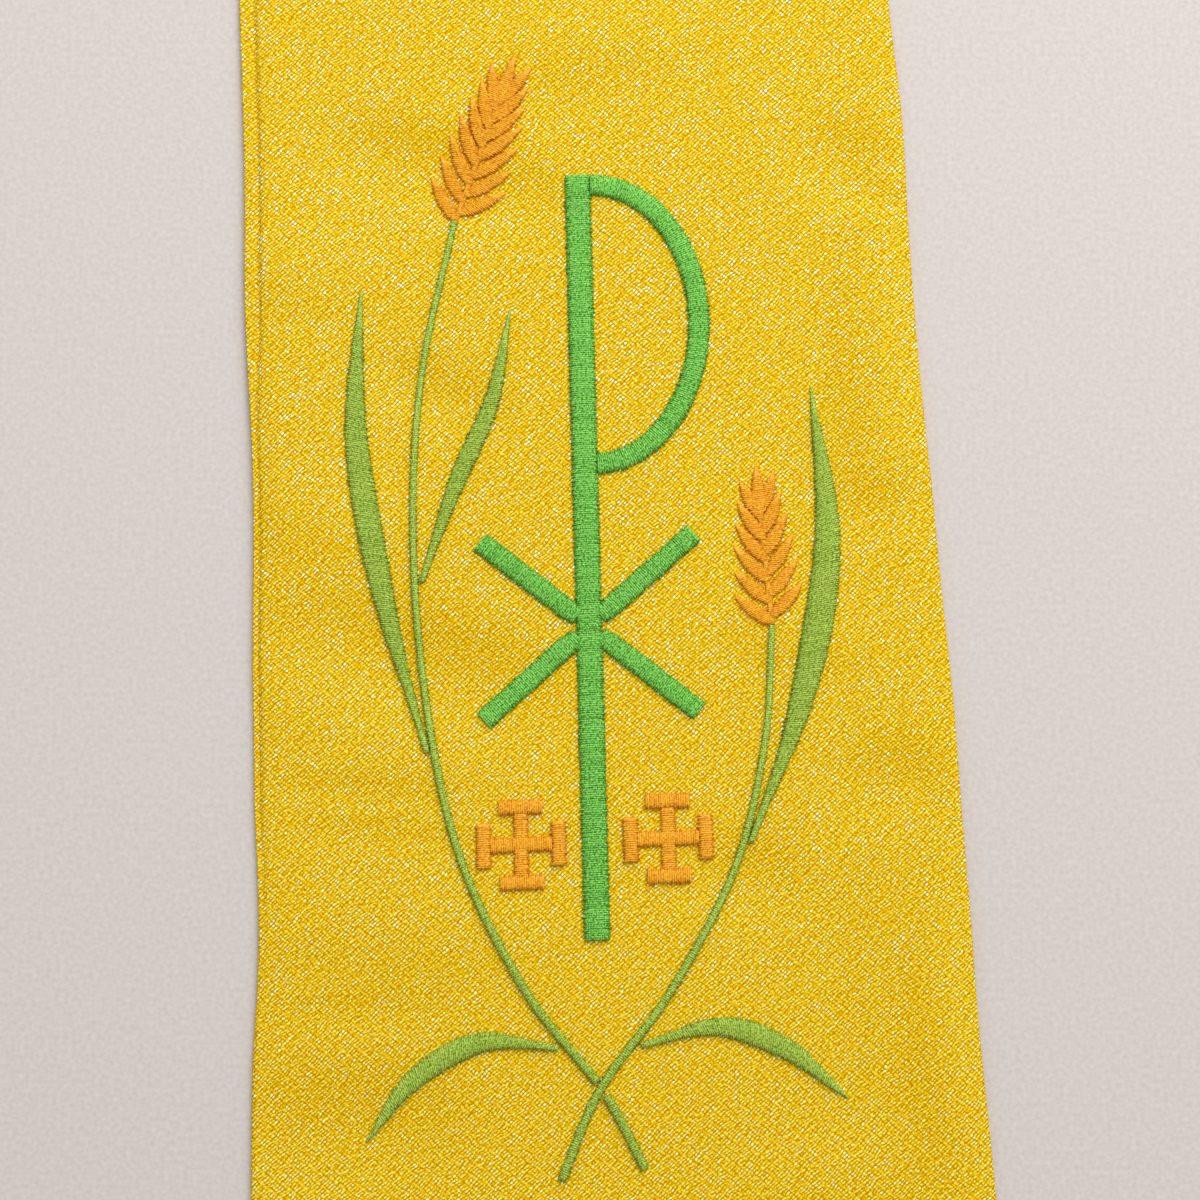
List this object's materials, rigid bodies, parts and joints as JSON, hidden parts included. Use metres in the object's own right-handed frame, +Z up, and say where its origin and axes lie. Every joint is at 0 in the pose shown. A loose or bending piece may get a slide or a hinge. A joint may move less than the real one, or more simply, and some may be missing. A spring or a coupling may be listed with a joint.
{
  "type": "clerical stole",
  "caption": "Long gold clerical stole laid out flat, its bands widening from a round neck to plain hems, with a satin stitch cross sign, wheat ears and leaves above each hem.",
  "frame": {"origin": "under the middle of the laid out stole, on the surface that it lies on", "axes": "+Z up off the surface, +Y from the hems to the neck, +X to the band on the right"},
  "size_m": [0.4772, 1.2826, 0.0037],
  "materials": {
    "gold_lame": "gold yellow lame, twill weave with metal thread that glitters",
    "green_thread": "glossy rayon satin stitch",
    "leaf_thread": "glossy rayon satin stitch, yellow green shading to leaf green",
    "orange_thread": "glossy rayon satin stitch"
  },
  "bodies": {
    "root": {"band_right": "gold_lame", "band_left": "gold_lame", "right_upright": "green_thread", "right_bowl": "green_thread", "right_arm_low_left": "green_thread", "right_arm_high_left": "green_thread", "right_arm_low_right": "green_thread", "right_arm_high_right": "green_thread", "right_tall_stalk_low": "leaf_thread", "right_tall_stalk": "leaf_thread", "right_short_stalk": "leaf_thread", "right_tall_leaf": "leaf_thread", "right_inner_leaf": "leaf_thread", "right_short_leaf": "leaf_thread", "right_low_left_leaf": "leaf_thread", "right_low_right_leaf": "leaf_thread", "right_tall_ear": "orange_thread", "right_short_ear": "orange_thread", "right_cross_left": "orange_thread", "right_cross_right": "orange_thread", "left_upright": "green_thread", "left_bowl": "green_thread", "left_arm_low_left": "green_thread", "left_arm_high_left": "green_thread", "left_arm_low_right": "green_thread", "left_arm_high_right": "green_thread", "left_tall_stalk_low": "leaf_thread", "left_tall_stalk": "leaf_thread", "left_short_stalk": "leaf_thread", "left_tall_leaf": "leaf_thread", "left_inner_leaf": "leaf_thread", "left_short_leaf": "leaf_thread", "left_low_left_leaf": "leaf_thread", "left_low_right_leaf": "leaf_thread", "left_tall_ear": "orange_thread", "left_short_ear": "orange_thread", "left_cross_left": "orange_thread", "left_cross_right": "orange_thread"}
  },
  "joints": []
}
